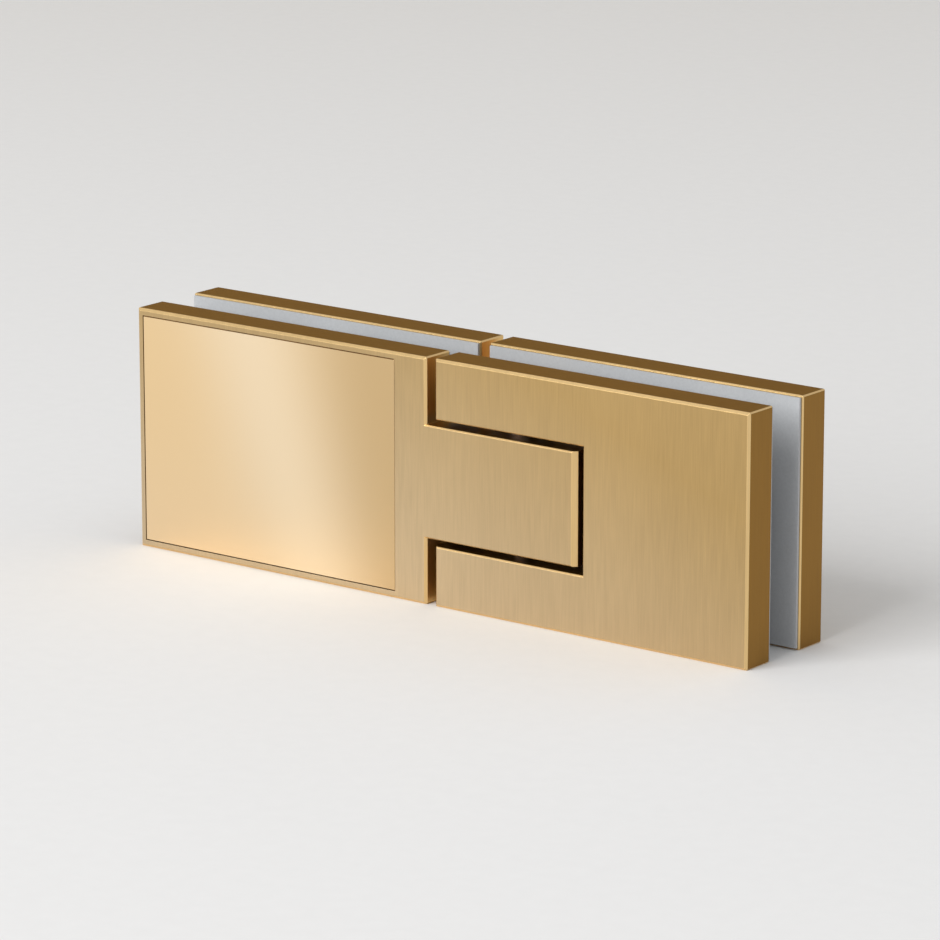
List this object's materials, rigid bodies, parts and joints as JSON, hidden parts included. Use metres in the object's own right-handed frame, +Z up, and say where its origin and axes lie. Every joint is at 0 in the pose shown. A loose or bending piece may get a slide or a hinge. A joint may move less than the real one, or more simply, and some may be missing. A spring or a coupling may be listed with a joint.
{
  "type": "glass-to-glass lift hinge",
  "caption": "Clamping hinge that joins a glass door to a fixed glass pane in one plane; a flush knuckle turns in a notched leaf on helical cams that lift the door as it opens.",
  "frame": {"origin": "middle of the closed hinge's bounding box", "axes": "+X along the hinge from the fixed side to the door side, +Y from the front to the back, +Z up"},
  "size_m": [0.136, 0.023, 0.045],
  "materials": {
    "brushed_brass": "fine vertical brushing, satin",
    "polished_brass": "polished",
    "gasket": "matte grey sheet",
    "nylon": "matte",
    "steel": "turned and ground",
    "bronze": "sintered, oiled"
  },
  "bodies": {
    "fixed_side": {"fixed_leaf": "brushed_brass", "cover_plate": "polished_brass", "fixed_back_plate": "brushed_brass", "fixed_front_gasket": "gasket", "fixed_back_gasket": "gasket", "fixed_clamp_screws": "steel", "fixed_screw_sleeves": "nylon", "lower_bush": "bronze", "upper_bush": "bronze", "lower_cam": "steel", "disc_springs": "steel"},
    "lift_carrier": {"lift_ring": "steel"},
    "door_side": {"door_leaf": "brushed_brass", "door_back_plate": "brushed_brass", "door_front_gasket": "gasket", "door_back_gasket": "gasket", "door_clamp_screws": "steel", "door_screw_sleeves": "nylon", "hinge_pin": "steel", "upper_cam": "steel", "pin_set_screws": "steel"}
  },
  "joints": [
    {"name": "door_lift", "type": "slide", "parent": "fixed_side", "child": "lift_carrier", "axis": [0, 0, 1], "range_m": [0, 0.0009], "deforming": ["disc_springs"]},
    {"name": "door_swing", "type": "hinge", "parent": "lift_carrier", "child": "door_side", "pos_m": [0.0154, -0.0045, 0], "axis": [0, 0, -1], "range_deg": [0, 90]}
  ],
  "couplings": [
    {"joint": "door_lift", "follows": "door_swing", "m_per_rad": 0.00057295}
  ]
}
